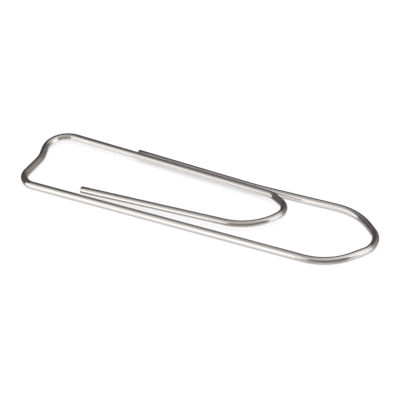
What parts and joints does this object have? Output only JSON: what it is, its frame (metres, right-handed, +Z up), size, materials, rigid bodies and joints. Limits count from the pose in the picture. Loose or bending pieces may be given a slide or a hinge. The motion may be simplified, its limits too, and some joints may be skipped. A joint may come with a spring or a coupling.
{
  "type": "paper clip",
  "caption": "Bent-wire paper clip: a long pointed outer loop, a square heel with a shallow dent, and a springy inner tongue that grips sheets against the loop.",
  "frame": {"origin": "bottom centre of the clip's box, on the surface that it lies on", "axes": "+X from the heel to the pointed nose, +Y from the long near leg to the outer free leg, +Z up out of the clip's plane"},
  "size_m": [0.077, 0.0198, 0.0024],
  "materials": {
    "wire": "polished bright plated steel wire with fine drawing lines"
  },
  "bodies": {
    "base_loop": {"near_leg": "wire", "near_shoulder": "wire", "outer_nose_near": "wire", "near_heel_corner": "wire", "heel_near_half": "wire"},
    "outer_arm": {"outer_nose_far": "wire", "far_shoulder": "wire", "outer_free_leg": "wire"},
    "tongue": {"heel_far_half": "wire", "far_heel_corner": "wire", "tongue_leg": "wire", "tongue_shoulder": "wire", "tongue_nose_far": "wire"},
    "inner_arm": {"tongue_nose_near": "wire", "inner_shoulder": "wire", "inner_free_leg": "wire"}
  },
  "joints": [
    {"name": "tongue_flex", "type": "hinge", "parent": "base_loop", "child": "tongue", "pos_m": [-0.03682, -0.00045, 0.00109], "axis": [0, -1, 0], "range_deg": [-10, 10], "stiffness_Nm_per_rad": 1.2},
    {"name": "outer_arm_flex", "type": "hinge", "parent": "base_loop", "child": "outer_arm", "pos_m": [0.03775, 0.00055, 0.00075], "axis": [0, 1, 0], "range_deg": [-6, 6], "stiffness_Nm_per_rad": 1.5},
    {"name": "inner_arm_flex", "type": "hinge", "parent": "tongue", "child": "inner_arm", "pos_m": [0.01708, 0.0019, 0.00168], "axis": [0, 1, 0], "range_deg": [-6, 6], "stiffness_Nm_per_rad": 1.6}
  ]
}
